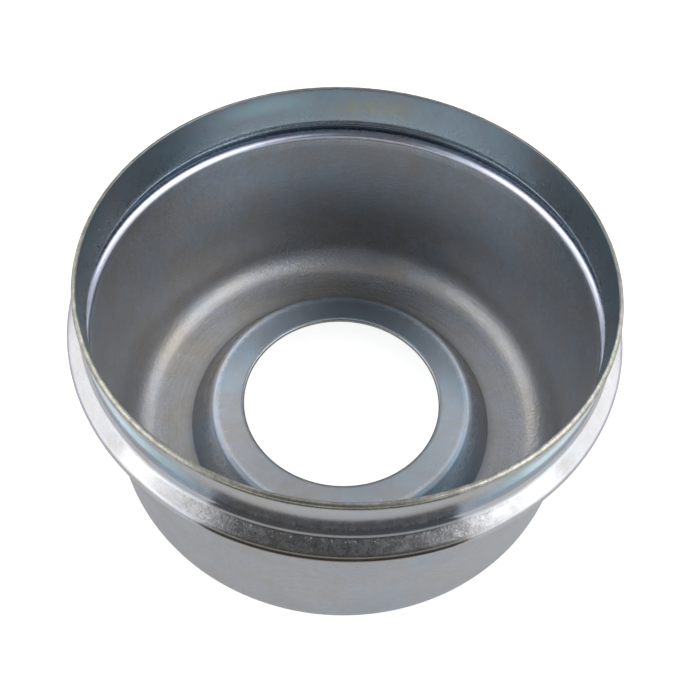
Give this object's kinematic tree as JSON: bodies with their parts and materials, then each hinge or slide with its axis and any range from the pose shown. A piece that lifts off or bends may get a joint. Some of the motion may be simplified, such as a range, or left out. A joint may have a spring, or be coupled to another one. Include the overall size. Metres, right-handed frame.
{
  "type": "hub grease cap",
  "caption": "Drive-in wheel hub grease cap drawn from one zinc-plated sheet, with a bead under its lip and a round plug hole in the raised middle of its closed end.",
  "frame": {"origin": "centre of the flat ring that the closed end rests on", "axes": "+Z along the cap's axis, towards its open end; X and Y lie in the resting plane"},
  "size_m": [0.0664, 0.0664, 0.0353],
  "materials": {
    "zinc_plate": "zinc plated, satin, with faint draw marks"
  },
  "bodies": {
    "root": {"grease_cap": "zinc_plate"}
  },
  "joints": []
}
